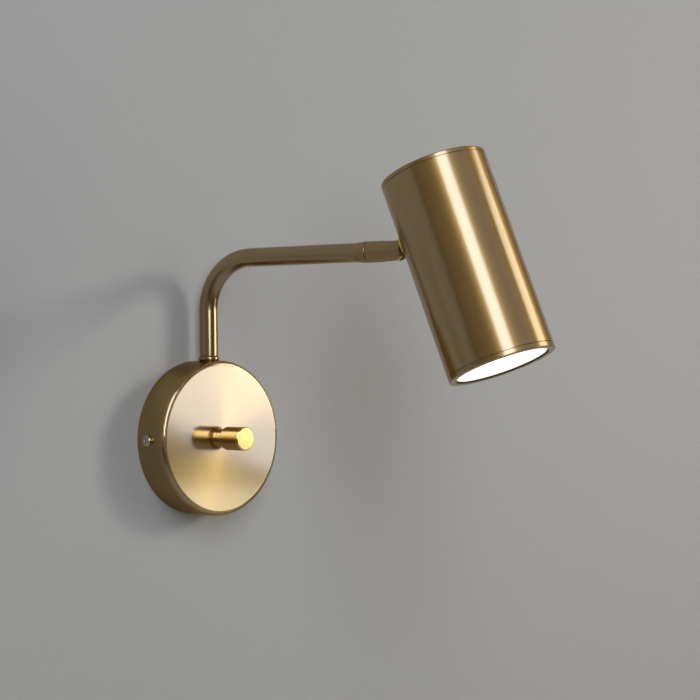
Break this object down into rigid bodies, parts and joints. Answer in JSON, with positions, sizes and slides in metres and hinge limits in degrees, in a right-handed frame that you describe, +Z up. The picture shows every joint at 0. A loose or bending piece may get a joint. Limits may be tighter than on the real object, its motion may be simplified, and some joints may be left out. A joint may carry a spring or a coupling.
{
  "type": "rotating wall lamp",
  "caption": "Wall lamp with a round canopy and turn knob, a bent tube arm that swivels, and a cylindrical spot head on a tilting, rolling knuckle.",
  "frame": {"origin": "middle of the canopy's rim on the wall, where the cable enters the bracket", "axes": "+X to the right along the wall, +Y into the wall so the lamp reaches out along -Y, +Z up"},
  "size_m": [0.1312, 0.2512, 0.2255],
  "materials": {
    "satin_brass": "satin brushed brass, antique gold tone",
    "polished_brass": "polished brass",
    "nickel_steel": "nickel-plated steel",
    "zinc_steel": "zinc-plated sheet steel",
    "white_nylon": "moulded white nylon",
    "black_nylon": "moulded black nylon",
    "foam_tape": "double-sided foam tape",
    "lead_sheath": "flexible round lead",
    "opal_acrylic": "opal acrylic, lit from behind",
    "white_reflector": "white moulded reflector",
    "cast_aluminium": "plain aluminium",
    "white_board": "aluminium board with white solder mask",
    "led_phosphor": "yellow phosphor chips"
  },
  "bodies": {
    "wall_base": {"wall_bracket": "zinc_steel", "canopy": "satin_brass", "canopy_screws": "nickel_steel", "terminal_block": "white_nylon", "terminal_screws": "nickel_steel", "block_screw": "zinc_steel", "earth_screw": "zinc_steel", "earth_washer": "zinc_steel", "led_driver": "white_nylon", "driver_pad": "foam_tape", "switch_body": "black_nylon", "switch_tags": "nickel_steel", "switch_nut": "polished_brass", "arm_collar": "polished_brass", "swivel_saddle": "black_nylon", "driver_lead": "lead_sheath"},
    "knob": {"knob": "polished_brass", "switch_spindle": "nickel_steel", "knob_grub_screw": "zinc_steel"},
    "arm": {"arm_tube": "satin_brass", "swivel_nipple": "zinc_steel", "friction_washer": "black_nylon", "stop_washer": "zinc_steel", "wave_washer": "zinc_steel", "swivel_nut": "zinc_steel", "arm_end_ring": "satin_brass", "arm_lead": "lead_sheath"},
    "fork": {"fork": "satin_brass", "roll_wave_washer": "zinc_steel", "roll_nut": "zinc_steel", "roll_stop_pin": "zinc_steel", "seam_washer": "black_nylon", "tilt_screw": "zinc_steel"},
    "head": {"tongue": "polished_brass", "tilt_washers": "black_nylon", "stud_saddle": "zinc_steel", "stud_washer": "zinc_steel", "stud_nut": "zinc_steel", "head_tube": "satin_brass", "top_cap": "satin_brass", "bezel": "satin_brass", "diffuser": "opal_acrylic", "reflector": "white_reflector", "led_board": "white_board", "led_chips": "led_phosphor", "board_screws": "nickel_steel", "heat_sink": "cast_aluminium", "head_lead": "lead_sheath"}
  },
  "joints": [
    {"name": "arm_swivel", "type": "hinge", "parent": "wall_base", "child": "arm", "pos_m": [0, -0.0125, 0.0533], "axis": [0, 0, 1], "range_deg": [-87.5, 62.5]},
    {"name": "head_roll", "type": "hinge", "parent": "arm", "child": "fork", "pos_m": [0.02641, -0.13161, 0.1158], "axis": [0.2164, -0.9763, 0], "range_deg": [-160, 160]},
    {"name": "head_tilt", "type": "hinge", "parent": "fork", "child": "head", "pos_m": [0.03034, -0.14938, 0.1158], "axis": [-0.9763, -0.2164, 0], "range_deg": [-105.9, 64.1]},
    {"name": "switch_knob", "type": "hinge", "parent": "wall_base", "child": "knob", "pos_m": [0, -0.0291, 0], "axis": [0, -1, 0], "range_deg": [-135, 135]}
  ]
}
